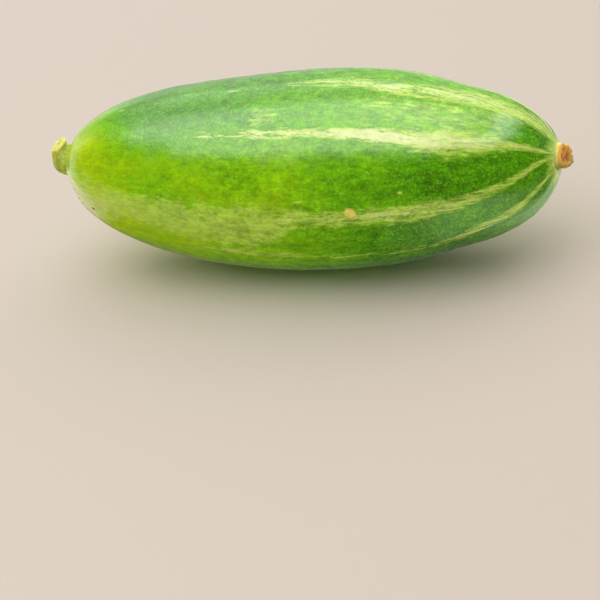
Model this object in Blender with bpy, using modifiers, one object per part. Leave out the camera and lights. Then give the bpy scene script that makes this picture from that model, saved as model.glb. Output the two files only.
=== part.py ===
"""A pointed gourd as picked, lying on its side: the fruit, its stem's stub and its flower's dried base.

In metres. +X runs from the stem end to the flower end, +Z is up, and the origin is on the small flat spot
that the fruit rests on, under its thickest section. Run with: blender --background --python part.py
"""

import math

import bpy
import numpy as np
from mathutils import Vector

MM = 0.001

# The fruit: half lengths are measured from the thickest section to each end.
FRUIT_RADIUS = 18.0 * MM
STEM_HALF = 44.7 * MM
FLOWER_HALF = 46.8 * MM
STEM_BLUNTNESS = 2.31  # 2 is an ellipse, and more makes the end blunter
FLOWER_BLUNTNESS = 2.39
BEND = 0.94 * MM  # how far both ends rise above a straight axis
STEM_END_LIFT = 1.36 * MM  # how far each pole sits above the middle of its end
FLOWER_END_LIFT = 1.17 * MM
BACK_FULLNESS = 0.095  # makes the upper side fuller towards the flower end than towards the stem end
DENTS = (  # (place along X, angle, depth, half length) of shallow hollows
    (-9.7 * MM, 27, 0.49 * MM, 13.9 * MM),
    (29.7 * MM, 27, 0.8 * MM, 6.7 * MM),
    (29 * MM, 207, 0.62 * MM, 7.4 * MM),
)
DENT_HALF_WIDTH = 35  # degrees
RIB_ANGLES = (20, 58, 92, 126, 160, 199, 238, 270, 316, 351)  # degrees from +Z towards +Y
RIB_HEIGHT = 0.12 * MM
RIB_FADE = 0.9  # 1 would fade the ribs to nothing at the thickest section
FRUIT_SEGMENTS = 80
FRUIT_RINGS = 42

# The flat spot lies this far inside the round shape.
FLAT_DEPTH = 0.35 * MM
AXIS_HEIGHT = FRUIT_RADIUS - FLAT_DEPTH

# The stubs' roots stand in plain round sockets.
FIT_GAP = 0.3 * MM
ROOT_RADIUS = 1.7 * MM
ROOT_DEPTH = 2.2 * MM
SOCKET_SEGMENTS = 32

# The stem stub is a bulbous peg that folds upwards in a fan about a line just above its base, then runs
# straight. A slanting cut ends it.
STEM_BASE_RADIUS = 2.8 * MM
STEM_END_RADIUS = 1.35 * MM
STEM_TAPER_LENGTH = 2.0 * MM  # how far out the radius is halfway between those two
STEM_FOLD = math.radians(88)
STEM_FOLD_LENGTH = 3.4 * MM
STEM_STRAIGHT = 2.3 * MM
STEM_PIVOT_GAP = 0.15 * MM
STEM_RIDGES = 5
STEM_RIDGE_SHARE = 0.05
STEM_SEGMENTS = 40
STEM_RINGS = 20
STEM_CUT_CENTRE = (-1.65 * MM, 0.0, 3.35 * MM)  # measured from the pole
STEM_CUT_FACING = (-0.38, -0.36, 0.85)

# The flower base is a short corky collar with a ragged rim and a hollowed end. It bends to one side.
COLLAR_NECK_RADIUS = 2.12 * MM
COLLAR_RIM_RADIUS = 2.2 * MM
COLLAR_NECK = FIT_GAP + 0.1 * MM
COLLAR_LENGTH = 1.65 * MM
COLLAR_HOLLOW = 0.6 * MM
COLLAR_RAGGED = 0.12 * MM
COLLAR_TILT = math.radians(22)
COLLAR_TILT_TOWARDS = (-0.68, 0.73)  # Y and Z of the side that it bends to
COLLAR_SEGMENTS = 40

MERGE_DISTANCE = 1e-5


def clear_scene():
    for obj in list(bpy.data.objects):
        bpy.data.objects.remove(obj, do_unlink=True)


def new_collection(name):
    collection = bpy.data.collections.new(name)
    bpy.context.scene.collection.children.link(collection)
    return collection


def material(name, colour, roughness):
    made = bpy.data.materials.new(name)
    made.use_nodes = True
    shader = made.node_tree.nodes["Principled BSDF"]
    shader.inputs["Base Color"].default_value = (*colour, 1.0)
    shader.inputs["Roughness"].default_value = roughness
    shader.inputs["Metallic"].default_value = 0.0
    made.diffuse_color = (*colour, 1.0)
    return made


def turned(name, profile, steps, collection):
    """A closed shape turned about Z. The profile is (radius, height) pairs down its outer side."""
    line = bpy.data.meshes.new(name + "_profile")
    points = [(radius, 0.0, height) for radius, height in profile]
    line.from_pydata(points, [(i, i + 1) for i in range(len(points) - 1)], [])
    source = bpy.data.objects.new(name + "_profile", line)
    collection.objects.link(source)
    screw = source.modifiers.new("turn", "SCREW")
    screw.axis = "Z"
    screw.steps = screw.render_steps = steps
    screw.use_merge_vertices = True
    screw.merge_threshold = MERGE_DISTANCE
    bpy.context.view_layer.update()
    graph = bpy.context.evaluated_depsgraph_get()
    mesh = bpy.data.meshes.new_from_object(source.evaluated_get(graph))
    mesh.name = name
    bpy.data.objects.remove(source, do_unlink=True)
    shape = bpy.data.objects.new(name, mesh)
    collection.objects.link(shape)
    return shape


def reshape(obj, formula):
    """Moves every point of a mesh at once: formula takes and gives an array of points."""
    count = len(obj.data.vertices)
    points = np.empty(count * 3)
    obj.data.vertices.foreach_get("co", points)
    obj.data.vertices.foreach_set("co", formula(points.reshape(-1, 3)).ravel())
    obj.data.update()


def finish(obj, colours):
    obj.data.materials.clear()
    obj.data.materials.append(colours)
    obj.data.shade_smooth()
    obj.data.set_sharp_from_angle(angle=math.radians(40))


def move_to(obj, collection):
    for owner in list(obj.users_collection):
        owner.objects.unlink(obj)
    collection.objects.link(obj)


def cut(obj, cutter):
    boolean = obj.modifiers.new("cut " + cutter.name, "BOOLEAN")
    boolean.operation = "DIFFERENCE"
    boolean.solver = "EXACT"
    boolean.object = cutter
    cutter.hide_render = True
    cutter.display_type = "WIRE"


def fruit_radius(share):
    """Radius of the section at share: -1 is the stem end, 0 the thickest section, 1 the flower end."""
    bluntness = np.where(share < 0, STEM_BLUNTNESS, FLOWER_BLUNTNESS)
    return FRUIT_RADIUS * np.clip(1 - share**2, 0, 1) ** (1 / bluntness)


def axis_rise(share, radius):
    """Height of a section's middle above the straight axis: a slight bend, and a lift close to each pole."""
    lift = np.where(share < 0, STEM_END_LIFT, FLOWER_END_LIFT)
    return BEND * share**2 + lift * (1 - radius / FRUIT_RADIUS) ** 4


def dent_relief(angle, along):
    """The hollows: each one fades out smoothly along the fruit and round it."""
    relief = np.zeros_like(angle)
    for place, facing, depth, half_length in DENTS:
        away = (angle - math.radians(facing) + np.pi) % (2 * np.pi) - np.pi
        fade = np.exp(-(((along - place) / half_length) ** 2) - (away / math.radians(DENT_HALF_WIDTH)) ** 2)
        relief -= depth * fade
    return relief


def rib_relief(angle, radius):
    """Low ribs at RIB_ANGLES, strongest on the shoulders of both ends and fading to nothing at the poles."""
    ribs = np.radians(RIB_ANGLES)
    around = np.concatenate([ribs[-1:] - 2 * np.pi, ribs, ribs[:1] + 2 * np.pi])
    turns = np.interp(angle % (2 * np.pi), around, np.arange(-1, len(ribs) + 1))
    share = radius / FRUIT_RADIUS
    swell = share * (1 - RIB_FADE * share) * 4 * RIB_FADE
    return RIB_HEIGHT * np.cos(2 * np.pi * turns) * swell


def lying_fruit(points):
    """Lays the upright fruit along +X, with its bend, off-centre poles, full back, ribs and dents."""
    along = points[:, 2]
    radius = np.hypot(points[:, 0], points[:, 1])
    angle = np.arctan2(-points[:, 1], points[:, 0])
    share = np.where(along < 0, along / STEM_HALF, along / FLOWER_HALF)
    upper = (1 + np.cos(angle)) / 2
    fuller = BACK_FULLNESS * upper * share * (1 - share**2)
    relief = rib_relief(angle, radius) + dent_relief(angle, along) * radius / FRUIT_RADIUS
    reach = radius * (1 + fuller) + relief
    height = AXIS_HEIGHT + axis_rise(share, radius) + reach * np.cos(angle)
    return np.stack([along, reach * np.sin(angle), height], axis=1)


def pole(end):
    """The pole's place: end is -1 for the stem end and 1 for the flower end."""
    lift = STEM_END_LIFT if end < 0 else FLOWER_END_LIFT
    half = STEM_HALF if end < 0 else FLOWER_HALF
    return Vector((end * half, 0.0, AXIS_HEIGHT + BEND + lift))


def make_fruit(collection, cutters):
    turns = np.linspace(0, math.pi, FRUIT_RINGS + 2)
    shares = np.cos(turns)
    shares[[0, -1]] = 1.0, -1.0
    heights = np.where(shares < 0, STEM_HALF, FLOWER_HALF) * shares
    profile = list(zip(fruit_radius(shares), heights))
    fruit = turned("fruit", profile, FRUIT_SEGMENTS, collection)
    reshape(fruit, lying_fruit)

    bpy.ops.mesh.primitive_cube_add(size=1.0)
    floor = bpy.context.object
    floor.name = "floor_cutter"
    floor.scale = (2 * STEM_HALF, 3 * FRUIT_RADIUS, FRUIT_RADIUS)
    floor.location = (0.0, 0.0, -FRUIT_RADIUS / 2)
    move_to(floor, cutters)
    cut(fruit, floor)

    for name, end in (("stem_socket_cutter", -1), ("flower_socket_cutter", 1)):
        bpy.ops.mesh.primitive_cylinder_add(
            vertices=SOCKET_SEGMENTS,
            radius=ROOT_RADIUS + FIT_GAP,
            depth=2 * (ROOT_DEPTH + FIT_GAP),
            location=pole(end),
            rotation=(0.0, math.pi / 2, 0.0),
        )
        socket = bpy.context.object
        socket.name = name
        move_to(socket, cutters)
        cut(fruit, socket)
    finish(fruit, material("fruit_skin", (0.10, 0.30, 0.02), 0.35))
    return fruit


def stem_radius(out):
    """Radius of the stub at a distance out from the pole: it stays wide for a while, then narrows quickly."""
    share = np.clip(out - FIT_GAP, 0, None) / STEM_TAPER_LENGTH
    return STEM_END_RADIUS + (STEM_BASE_RADIUS - STEM_END_RADIUS) / (1 + share**4)


def folded_stub(points):
    """Ridges the turned peg, folds it upwards about the pivot line and sets it at the stem end."""
    out = points[:, 2]
    turn = np.arctan2(points[:, 1], points[:, 0])
    ridged = np.where(out >= FIT_GAP, 1 + STEM_RIDGE_SHARE * (np.cos(STEM_RIDGES * turn) - 1), 1.0)
    upward, sideways = points[:, 0] * ridged, points[:, 1] * ridged
    share = np.clip((out - FIT_GAP) / STEM_FOLD_LENGTH, 0, 1)
    straight = np.clip(out - FIT_GAP - STEM_FOLD_LENGTH, 0, None) + np.clip(out - FIT_GAP, None, 0)
    fold = STEM_FOLD * share
    reach = stem_radius(out) + STEM_PIVOT_GAP - upward
    along = FIT_GAP + reach * np.sin(fold) + straight * np.cos(fold)
    rise = STEM_BASE_RADIUS + STEM_PIVOT_GAP - reach * np.cos(fold) + straight * np.sin(fold)
    return np.stack([-along, sideways, rise], axis=1) + np.array(pole(-1))


def make_stem_stub(collection, cutters):
    rings = np.linspace(FIT_GAP + STEM_FOLD_LENGTH + STEM_STRAIGHT, FIT_GAP, STEM_RINGS)
    outer = list(zip(stem_radius(rings), rings))
    root = [(ROOT_RADIUS, FIT_GAP), (ROOT_RADIUS, -ROOT_DEPTH), (0.0, -ROOT_DEPTH)]
    stub = turned("stem_stub", [(0.0, rings[0])] + outer + root, STEM_SEGMENTS, collection)
    reshape(stub, folded_stub)

    facing = Vector(STEM_CUT_FACING).normalized()
    size = 4 * STEM_BASE_RADIUS
    bpy.ops.mesh.primitive_cube_add(
        size=size,
        location=pole(-1) + Vector(STEM_CUT_CENTRE) + facing * size / 2,
        rotation=facing.to_track_quat("Z", "Y").to_euler(),
    )
    slice_box = bpy.context.object
    slice_box.name = "stem_end_cutter"
    move_to(slice_box, cutters)
    cut(stub, slice_box)
    finish(stub, material("stem_stub", (0.42, 0.43, 0.06), 0.55))
    return stub


def collar_profile():
    """Down the outer side from the middle of the hollow: hollow, rim, neck, step and root."""
    rim = COLLAR_LENGTH
    return [
        (0.0, rim - COLLAR_HOLLOW),
        (0.30 * COLLAR_RIM_RADIUS, rim - COLLAR_HOLLOW),
        (0.55 * COLLAR_RIM_RADIUS, rim - 0.75 * COLLAR_HOLLOW),
        (0.70 * COLLAR_RIM_RADIUS, rim - 0.15 * COLLAR_HOLLOW),
        (0.84 * COLLAR_RIM_RADIUS, rim),
        (0.96 * COLLAR_RIM_RADIUS, rim - 0.15 * MM),
        (COLLAR_RIM_RADIUS, rim - 0.45 * MM),
        (0.99 * COLLAR_RIM_RADIUS, rim - 0.8 * MM),
        (COLLAR_NECK_RADIUS, COLLAR_NECK + 0.15 * MM),
        (COLLAR_NECK_RADIUS, COLLAR_NECK),
        (ROOT_RADIUS, COLLAR_NECK),
        (ROOT_RADIUS, -ROOT_DEPTH),
        (0.0, -ROOT_DEPTH),
    ]


def ragged_collar(points):
    """Waves the rim, as fallen petals leave it, bends the collar and sets it at the flower end."""
    turn = np.arctan2(points[:, 1], points[:, 0])
    radius = np.hypot(points[:, 0], points[:, 1])
    grows = np.clip(points[:, 2] / COLLAR_LENGTH, 0, 1) ** 2
    waves = np.cos(5 * turn + 0.4) + 0.6 * np.cos(8 * turn + 2.0) + 0.4 * np.cos(11 * turn + 4.1)
    outward = 1 + 0.04 * grows * waves
    raised = points[:, 2] + COLLAR_RAGGED * 0.5 * grows * waves * (radius / COLLAR_RIM_RADIUS)
    side, rise = -points[:, 1] * outward, points[:, 0] * outward

    # The sections turn about a line across the bend, more and more from the neck to the rim.
    past_neck = np.clip(raised - COLLAR_NECK, 0, None)
    tilt = COLLAR_TILT * np.clip(past_neck / (COLLAR_LENGTH - COLLAR_NECK), 0, 1)
    side_share, rise_share = np.array(COLLAR_TILT_TOWARDS) / np.linalg.norm(COLLAR_TILT_TOWARDS)
    towards = side * side_share + rise * rise_share
    along = np.minimum(raised, COLLAR_NECK) + past_neck * np.cos(tilt / 2) - towards * np.sin(tilt)
    shift = past_neck * np.sin(tilt / 2) + towards * (np.cos(tilt) - 1)
    return np.stack([along, side + shift * side_share, rise + shift * rise_share], axis=1) + np.array(pole(1))


def make_flower_base(collection):
    base = turned("flower_base", collar_profile(), COLLAR_SEGMENTS, collection)
    reshape(base, ragged_collar)
    finish(base, material("flower_base", (0.62, 0.33, 0.08), 0.75))
    return base


clear_scene()
gourd = new_collection("pointed_gourd")
cutters = new_collection("cutters")
cutters.hide_render = True
make_fruit(gourd, cutters)
make_stem_stub(gourd, cutters)
make_flower_base(gourd)
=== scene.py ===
# %% [markdown]
# # A pointed gourd, made with numpy and shader nodes
#
# A pointed gourd is a small plump vegetable with a striped, waxy green skin. This lesson dresses its plain
# solids: the fruit gets its grown skin, the stem its fibres and slanting cut, and the flower's dried base its
# corky ragged collar. Each shape is a formula on a grid of points, and each finish is a set of shader nodes.
# +X runs from the stem end to the flower end, +Z is up, and lengths are in metres unless a name says mm.

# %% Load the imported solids
import math

import bpy
import numpy as np
from mathutils import Matrix, Vector


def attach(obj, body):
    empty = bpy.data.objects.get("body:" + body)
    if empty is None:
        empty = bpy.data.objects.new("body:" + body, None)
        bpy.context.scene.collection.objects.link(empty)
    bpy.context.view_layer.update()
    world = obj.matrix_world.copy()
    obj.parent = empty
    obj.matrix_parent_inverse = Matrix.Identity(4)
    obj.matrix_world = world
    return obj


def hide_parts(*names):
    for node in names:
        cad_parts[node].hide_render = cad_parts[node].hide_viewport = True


MM = 0.001
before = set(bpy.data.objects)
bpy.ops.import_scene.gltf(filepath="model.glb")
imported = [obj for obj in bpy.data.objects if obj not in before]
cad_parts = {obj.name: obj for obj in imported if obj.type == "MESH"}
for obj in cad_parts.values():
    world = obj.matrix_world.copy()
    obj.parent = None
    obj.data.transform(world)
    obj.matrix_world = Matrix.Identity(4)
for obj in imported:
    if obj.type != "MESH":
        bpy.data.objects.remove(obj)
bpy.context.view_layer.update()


def unit(*parts):
    return np.array(parts) / np.linalg.norm(parts)


def add_object(name, data):
    made = bpy.data.objects.new(name, data)
    bpy.context.scene.collection.objects.link(made)
    return made


# %% [markdown]
# ## The camera
#
# The fruit is seen from its side and a little from above, and its axis is tilted in the picture. A camera could
# be aimed by hand, but a pose made from angles can be set exactly: azimuth and elevation say where it stands,
# roll tilts the picture, and the distance and the scale at the fruit give the lens. A long lens keeps the shape
# nearly free of perspective.

# %% Place the camera
IMAGE_SIZE = 600
FRUIT_PIXEL = (305.2, 169.0)  # where the middle of the fruit lies in the picture
PIXELS_PER_MM = 5.616
AXIS_HEIGHT = 17.65 * MM
VIEW_AZIMUTH, VIEW_ELEVATION, VIEW_ROLL = (math.radians(angle) for angle in (22.0, 25.0, 10.18))
VIEW_DISTANCE = 600 * MM


def photograph_camera():
    """Stands at azimuth and elevation from the fruit, looks past it so that it falls on FRUIT_PIXEL, and rolls."""
    back = Vector((
        math.sin(VIEW_AZIMUTH) * math.cos(VIEW_ELEVATION),
        -math.cos(VIEW_AZIMUTH) * math.cos(VIEW_ELEVATION),
        math.sin(VIEW_ELEVATION),
    ))
    level = Vector((math.cos(VIEW_AZIMUTH), math.sin(VIEW_AZIMUTH), 0.0))
    rising = back.cross(level)
    across = math.cos(VIEW_ROLL) * level - math.sin(VIEW_ROLL) * rising
    upward = math.sin(VIEW_ROLL) * level + math.cos(VIEW_ROLL) * rising
    middle = Vector((0.0, 0.0, AXIS_HEIGHT))
    place = middle + back * VIEW_DISTANCE
    pixel = MM / PIXELS_PER_MM
    right = (FRUIT_PIXEL[0] - IMAGE_SIZE / 2) * pixel
    above = (IMAGE_SIZE / 2 - FRUIT_PIXEL[1]) * pixel
    back = (place - (middle - across * right - upward * above)).normalized()
    across = (across - across.dot(back) * back).normalized()
    upward = back.cross(across)

    lens = bpy.data.cameras.new("photograph_camera")
    lens.sensor_width = 36.0
    lens.lens = lens.sensor_width * PIXELS_PER_MM / MM * VIEW_DISTANCE / IMAGE_SIZE
    lens.clip_start = 0.01
    camera = add_object("photograph_camera", lens)
    turned = Matrix((across, upward, back)).transposed().to_4x4()
    camera.matrix_world = Matrix.Translation(place) @ turned
    return camera


bpy.context.scene.camera = photograph_camera()
print("lens in mm:", round(bpy.context.scene.camera.data.lens, 1))

# %% [markdown]
# ## Wiring shader nodes from code
#
# Materials are graphs of nodes. Small helpers keep the later cells short: some do arithmetic, one turns a range of
# values into a soft step from 0 to 1, and the last one joins the nodes to a shader. A socket knows its tree, so most
# helpers need nothing but sockets. Colours are written as the 0 to 255 values that a picture shows, so another
# helper makes them linear.

# %% Helpers for nodes and colours
def linear(red, green, blue):
    """A display colour as linear light: the curve of the sRGB standard, undone."""
    shares = [value / 255 for value in (red, green, blue)]
    light = [s / 12.92 if s <= 0.04045 else ((s + 0.055) / 1.055) ** 2.4 for s in shares]
    return (*light, 1.0)


def fill(sockets, inputs):
    """Gives each named or numbered socket its value, or a link where the value is another node's output."""
    for key, value in inputs.items():
        if isinstance(value, bpy.types.NodeSocket):
            value.id_data.links.new(value, sockets[key])
        else:
            sockets[key].default_value = value


def add_node(tree, kind, **settings):
    node = tree.nodes.new(kind)
    for key, value in settings.items():
        setattr(node, key, value)
    return node


def tree_of(inputs):
    """The tree that the linked inputs come from: every socket knows its own."""
    return next(value.id_data for value in inputs.values() if isinstance(value, bpy.types.NodeSocket))


def join(kind, inputs, **settings):
    """Adds a node to the tree of its inputs, fills them and gives its outputs."""
    node = add_node(tree_of(inputs), kind, **settings)
    fill(node.inputs, inputs)
    return node.outputs


def use_group(group, inputs):
    return join("ShaderNodeGroup", inputs, node_tree=group)


def maths(operation, first, second=0.0):
    return join("ShaderNodeMath", {0: first, 1: second}, operation=operation)[0]


def add(total, *others):
    for other in others:
        total = maths("ADD", total, other)
    return total


def multiply(product, *others):
    for other in others:
        product = maths("MULTIPLY", product, other)
    return product


def swing(value, strength):
    """(value - 0.5) * strength: a noise of 0 to 1 as a shift to both sides of 0."""
    return multiply(maths("SUBTRACT", value, 0.5), strength)


def vector_maths(operation, first, second):
    return join("ShaderNodeVectorMath", {0: first, 1: second}, operation=operation)[0]


def scaled(vector, factor):
    return join("ShaderNodeVectorMath", {0: vector, "Scale": factor}, operation="SCALE")[0]


def vector_length(vector):
    return join("ShaderNodeVectorMath", {0: vector}, operation="LENGTH")["Value"]


def axes_of(vector):
    return join("ShaderNodeSeparateXYZ", {0: vector})


def soft_step(value, low, high, bottom=0.0, top=1.0):
    """bottom below low, top above high, and an S-shaped change between them."""
    inputs = {"Value": value, "From Min": low, "From Max": high, "To Min": bottom, "To Max": top}
    return join("ShaderNodeMapRange", inputs, interpolation_type="SMOOTHSTEP")[0]


def blend(share, first, second):
    """A colour between first and second."""
    inputs = {"Factor": share, "A": first, "B": second}
    node = add_node(tree_of(inputs), "ShaderNodeMix", data_type="RGBA")
    fill({socket.name: socket for socket in node.inputs if socket.enabled}, inputs)
    return next(socket for socket in node.outputs if socket.enabled)


def colour_ramp(value, stops):
    """A colour that follows a value through stops of (value, display colour)."""
    ramped = join("ShaderNodeValToRGB", {0: value})["Color"]
    ramp = ramped.node.color_ramp.elements
    while len(ramp) < len(stops):
        ramp.new(0.5)
    for element, (position, colour) in zip(ramp, stops):
        element.position = position
        element.color = linear(*colour)
    return ramped


def noise(vector, scale, detail=2.0, roughness=0.5):
    inputs = {"Vector": vector, "Scale": scale, "Detail": detail, "Roughness": roughness}
    return join("ShaderNodeTexNoise", inputs)["Fac"]


def attribute(tree, name, output="Fac"):
    return add_node(tree, "ShaderNodeAttribute", attribute_name=name).outputs[output]


def place_in_mm(tree):
    """Where the shaded point lies on the object, in mm."""
    place = add_node(tree, "ShaderNodeTexCoord").outputs["Object"]
    return vector_maths("MULTIPLY", place, (1000, 1000, 1000))


def dress(mesh, name, paint):
    """Gives a mesh a material. paint adds nodes and returns colour, roughness, specular level and relief in mm."""
    made = bpy.data.materials.new(name)
    made.use_nodes = True
    tree = made.node_tree
    colour, roughness, specular, relief = paint(tree)
    shader = tree.nodes["Principled BSDF"]
    fill(shader.inputs, {"Base Color": colour, "Roughness": roughness, "Specular IOR Level": specular})
    if relief is not None:
        bump = join("ShaderNodeBump", {"Height": relief, "Distance": MM, "Strength": 1.0})
        fill(shader.inputs, {"Normal": bump["Normal"]})
    mesh.materials.append(made)
    print(name, "has", len(tree.nodes), "nodes")


print("a middle grey is", round(linear(128, 128, 128)[0], 3), "of white in linear light")

# %% [markdown]
# ## Floor and panels
#
# The picture has a plain warm pale ground and one wide soft light overhead, whose mirror image lies as a pale
# veil along the upper side of the fruit. An image of a studio could light the scene, but real area lights are
# easier to steer: a wide panel above, a small one beside it and a faint one behind. The panels show in the wax
# more strongly than they light the ground, so each has a twin that only mirrors see. It hangs a little lower,
# because one of two lamps in the same place is lost in mirrors. The wax doesn't mirror the floor itself.

# %% Make the floor and the panels
FLOOR_SIDE = 6.0
FLOOR_TINTS = (linear(224, 211, 199), linear(217, 202, 189))  # towards the stem end and the flower end
PANEL_HEIGHT = 1.5
TWIN_GAP = 0.03
PANELS = (  # name, sides (left, right, front, back) in panel heights, radiance of the lamp and of its twin
    ("wide_panel", (-1.03, 0.33, -1.20, 0.28), 1.25, 9.5),
    ("side_panel", (0.47, 0.74, -0.75, 0.60), 1.25, 13.0),
    ("rear_panel", (-1.20, 0.90, 0.30, 1.80), 0.50, 2.2),
)


def floor_paint(tree):
    """A plain tone that changes a little along X, with faint clouds."""
    place = add_node(tree, "ShaderNodeTexCoord").outputs["Object"]
    across = soft_step(axes_of(place)["X"], -0.12, 0.12, 0.1, 0.8)
    cloudy = add(across, multiply(noise(place, 3.0), 0.2))
    return blend(cloudy, *FLOOR_TINTS), 0.95, 0.0, None


def pale_floor():
    """A square of side FLOOR_SIDE at height 0."""
    half = FLOOR_SIDE / 2
    corners = [(-half, -half, 0.0), (half, -half, 0.0), (half, half, 0.0), (-half, half, 0.0)]
    mesh = bpy.data.meshes.new("floor")
    mesh.from_pydata(corners, [], [(0, 1, 2, 3)])
    dress(mesh, "pale_floor", floor_paint)
    floor = add_object("floor", mesh)
    floor.visible_glossy = False
    return floor


def panel(name, sides, soft, shine):
    """A flat light facing down, and its shining twin. The power of each is its radiance times pi times its area."""
    left, right, front, back = (side * PANEL_HEIGHT for side in sides)
    for twin, radiance, drop in (("soft", soft, 0.0), ("shine", shine, TWIN_GAP)):
        light = bpy.data.lights.new(f"{name}_{twin}", "AREA")
        light.shape = "RECTANGLE"
        light.size, light.size_y = right - left, back - front
        light.energy = radiance * math.pi * light.size * light.size_y
        lamp = add_object(light.name, light)
        lamp.location = ((left + right) / 2, (front + back) / 2, PANEL_HEIGHT - drop)
        lamp.visible_camera = False
        lamp.visible_diffuse = twin == "soft"


floor = pale_floor()
for values in PANELS:
    panel(*values)
print("lights:", sorted(lamp.name for lamp in bpy.data.lights))

# %% [markdown]
# ## The sky, and what the wax mirrors
#
# The world has three looks, and a light path node tells them apart. The camera sees one plain pale tone. Light
# that falls on things is a grey that brightens to the rear. Mirrored rays see a darker ground below the horizon,
# with soft pale glows low on both sides, as bright things round a fruit would make. Each glow is a colour and a
# few soft steps over the direction, whose X, Y and Z run from -1 to 1. Their product is its share.

# %% Make the sky
BACKDROP = linear(226, 217, 207)
SKY_LIGHT = (0.32, 1.05)  # the grey in front and in the rear
SKY_MIRRORED = (0.06, 0.9)  # the same, as the wax mirrors it
GROUND_MIRRORED = (0.12, 0.12, 0.10, 1.0)
HORIZON = (-0.25, 0.1)
FAR_GROUND = ((0.6, 0.6, 0.55, 1.0), (("Y", 0.55, 0.8, 0, 1), ("Z", -0.56, -0.44, 0, 1)))
LOW_RIGHT_GLOW = (
    (3.2, 3.9, 2.5, 1.0),
    (("X", -0.15, 0.22, 0, 1), ("Z", -0.6, -0.3, 1, 0), ("X", 0.45, 0.66, 1, 0.3), ("Y", 0, 0.15, 1, 0.45)),
)
LOW_LEFT_GLOW = ((1.6, 1.55, 1.2, 1.0), (("X", -0.74, -0.56, 1, 0), ("Y", 0.3, 0.6, 0, 1)))
SIDE_GLOW = ((1.4, 1.4, 1.35, 1.0), (("X", -0.9, -0.7, 1, 0), ("Z", 0.1, 0.5, 1, 0), ("Y", 0.05, 0.35, 0, 1)))


def add_glows(axes, colour, glows):
    """Blends in each glow's colour by the product of its steps (axis, low, high, bottom, top)."""
    for glow, steps in glows:
        share = 1.0
        for axis, *bounds in steps:
            share = multiply(share, soft_step(axes[axis], *bounds))
        colour = blend(share, colour, glow)
    return colour


def soft_sky():
    world = bpy.data.worlds.new("soft_sky")
    world.use_nodes = True
    tree = world.node_tree
    axes = axes_of(add_node(tree, "ShaderNodeTexCoord").outputs["Generated"])
    light, mirrored = (soft_step(axes["Y"], 0.1, 0.8, *greys) for greys in (SKY_LIGHT, SKY_MIRRORED))
    ground = add_glows(axes, GROUND_MIRRORED, (FAR_GROUND, LOW_RIGHT_GLOW, LOW_LEFT_GLOW))
    mirrored = blend(soft_step(axes["Z"], *HORIZON), ground, mirrored)
    mirrored = add_glows(axes, mirrored, (SIDE_GLOW,))
    paths = add_node(tree, "ShaderNodeLightPath").outputs
    seen = blend(paths["Is Glossy Ray"], light, mirrored)
    seen = blend(paths["Is Camera Ray"], seen, BACKDROP)
    tree.links.new(seen, tree.nodes["Background"].inputs["Color"])
    return world


bpy.context.scene.world = soft_sky()
bpy.context.scene.view_settings.view_transform = "Standard"
print("sky:", len(bpy.context.scene.world.node_tree.nodes), "nodes")

# %% [markdown]
# ## The shape of the fruit
#
# The fruit is a blunt spindle: its radius is that of an ellipse raised to a lower power, so the ends are fuller
# than an ellipse's. It bends a little, its poles sit off centre, and it carries ten low ribs, a few shallow
# hollows, a raised ring round the stem's foot and another round the flower's base. Where it lies, its skin gives
# in a small flat spot. Sculpting could make it, but a formula of two parameters, the share along the fruit and the
# angle round it, gives the same shape at any fineness.

# %% Fruit formula
FRUIT_RADIUS = 18.0 * MM
STEM_HALF = 44.7 * MM
FLOWER_HALF = 46.8 * MM
STEM_BLUNTNESS, FLOWER_BLUNTNESS = 2.31, 2.39
BEND = 0.94 * MM
STEM_END_LIFT = 1.36 * MM
FLOWER_END_LIFT = 1.17 * MM
BACK_FULLNESS = 0.095
DENTS = (  # the shallow hollows: place along X, angle in degrees, depth and half length
    (-9.7 * MM, 27, 0.49 * MM, 13.9 * MM), (29.7 * MM, 27, 0.8 * MM, 6.7 * MM), (29 * MM, 207, 0.62 * MM, 7.4 * MM),
)
DENT_HALF_WIDTH = math.radians(35)
STEM_LIP = (3.3 * MM, 0.8 * MM, 0.4 * MM)  # radius, half width and height of the ring round the stem's foot
FLOWER_LIP = (2.9 * MM, 0.9 * MM, 0.3 * MM)  # and of the one round the flower's base
RIB_ANGLES = (20, 58, 92, 126, 160, 199, 238, 270, 316, 351)  # degrees from +Z towards +Y
RIB_HEIGHT = 0.12 * MM
RIB_FADE = 0.9  # how much of a rib is lost where the fruit is thickest
RIPPLE_HEIGHT, RIPPLE_LENGTH = 0.03 * MM, 6 * MM
SKIN_INSET = 0.07 * MM  # keeps the fine relief inside the solid's size
FLAT_SOFTNESS = 0.05 * MM


def ripples(points, wavelength, seed, waves=20):
    """Smooth random relief of about -1 to 1: a sum of plane waves with random directions and phases."""
    random = np.random.default_rng(seed)
    directions = random.normal(size=(waves, 3))
    directions /= np.linalg.norm(directions, axis=1, keepdims=True)
    pace = 2 * np.pi / (wavelength * random.uniform(0.7, 1.5, waves))
    phase = random.uniform(0, 2 * np.pi, waves)
    return np.cos(points @ directions.T * pace + phase).sum(axis=-1) / math.sqrt(waves)


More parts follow.
